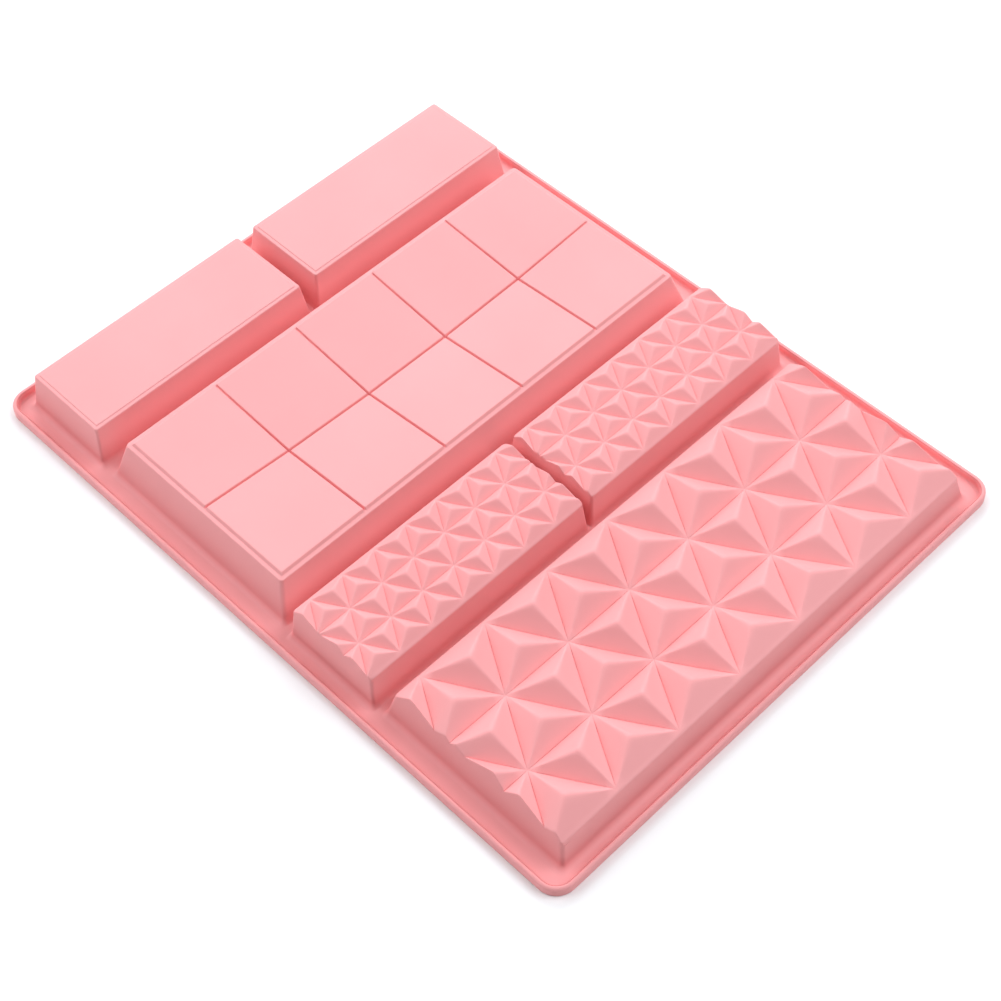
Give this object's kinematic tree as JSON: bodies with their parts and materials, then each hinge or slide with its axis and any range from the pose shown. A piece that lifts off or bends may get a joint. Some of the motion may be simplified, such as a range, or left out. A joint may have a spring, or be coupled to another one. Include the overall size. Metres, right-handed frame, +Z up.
{
  "type": "silicone tray mould",
  "caption": "One-piece silicone tray mould with smooth, grid and faceted bar cavities in a thin flanged sheet with a raised edge bead, shown open face down.",
  "frame": {"origin": "middle of the resting face, which is the mould's open face, lying down", "axes": "X along the bars, Y across the rows of cavities from the faceted block to the smooth bars, Z up out of the cavities' undersides"},
  "size_m": [0.21, 0.27, 0.0183],
  "materials": {
    "silicone": "matt moulded silicone, flexible, slightly translucent pink"
  },
  "bodies": {
    "root": {"flange_sheet": "silicone", "rim_bead": "silicone", "smooth_bar_left_walls": "silicone", "smooth_bar_left_floor": "silicone", "smooth_bar_right_walls": "silicone", "smooth_bar_right_floor": "silicone", "grid_block_walls": "silicone", "grid_block_floor": "silicone", "facet_bar_left_walls": "silicone", "facet_bar_left_floor": "silicone", "facet_bar_right_walls": "silicone", "facet_bar_right_floor": "silicone", "facet_block_walls": "silicone", "facet_block_floor": "silicone"}
  },
  "joints": []
}
